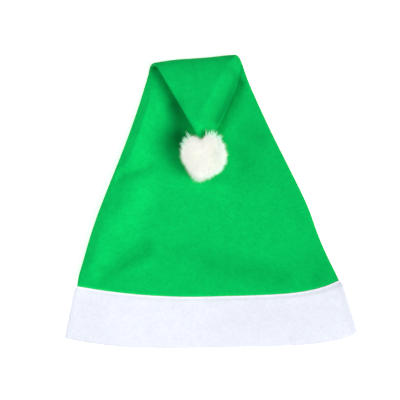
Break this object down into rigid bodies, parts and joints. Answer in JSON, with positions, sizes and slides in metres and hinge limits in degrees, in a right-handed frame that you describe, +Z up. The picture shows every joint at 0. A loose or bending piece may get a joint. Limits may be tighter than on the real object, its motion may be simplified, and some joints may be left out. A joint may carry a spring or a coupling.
{
  "type": "santa hat",
  "caption": "Felt santa hat lying on its back: a hollow green cone with a white band round its mouth, the tip folded over the front and ending in a pompom.",
  "frame": {"origin": "on the surface the hat lies on, under the middle of its bounding box", "axes": "+Z up, from the back that lies on the surface to the front; +Y from the mouth to the fold; +X to the right seen from above with the fold at the top"},
  "size_m": [0.2938, 0.2932, 0.0541],
  "materials": {
    "green_felt": "matt nonwoven felt",
    "white_felt": "matt nonwoven felt",
    "pompom_fibre": "short cut pile"
  },
  "bodies": {
    "root": {"crown": "green_felt", "band": "white_felt", "pompom": "pompom_fibre"}
  },
  "joints": []
}
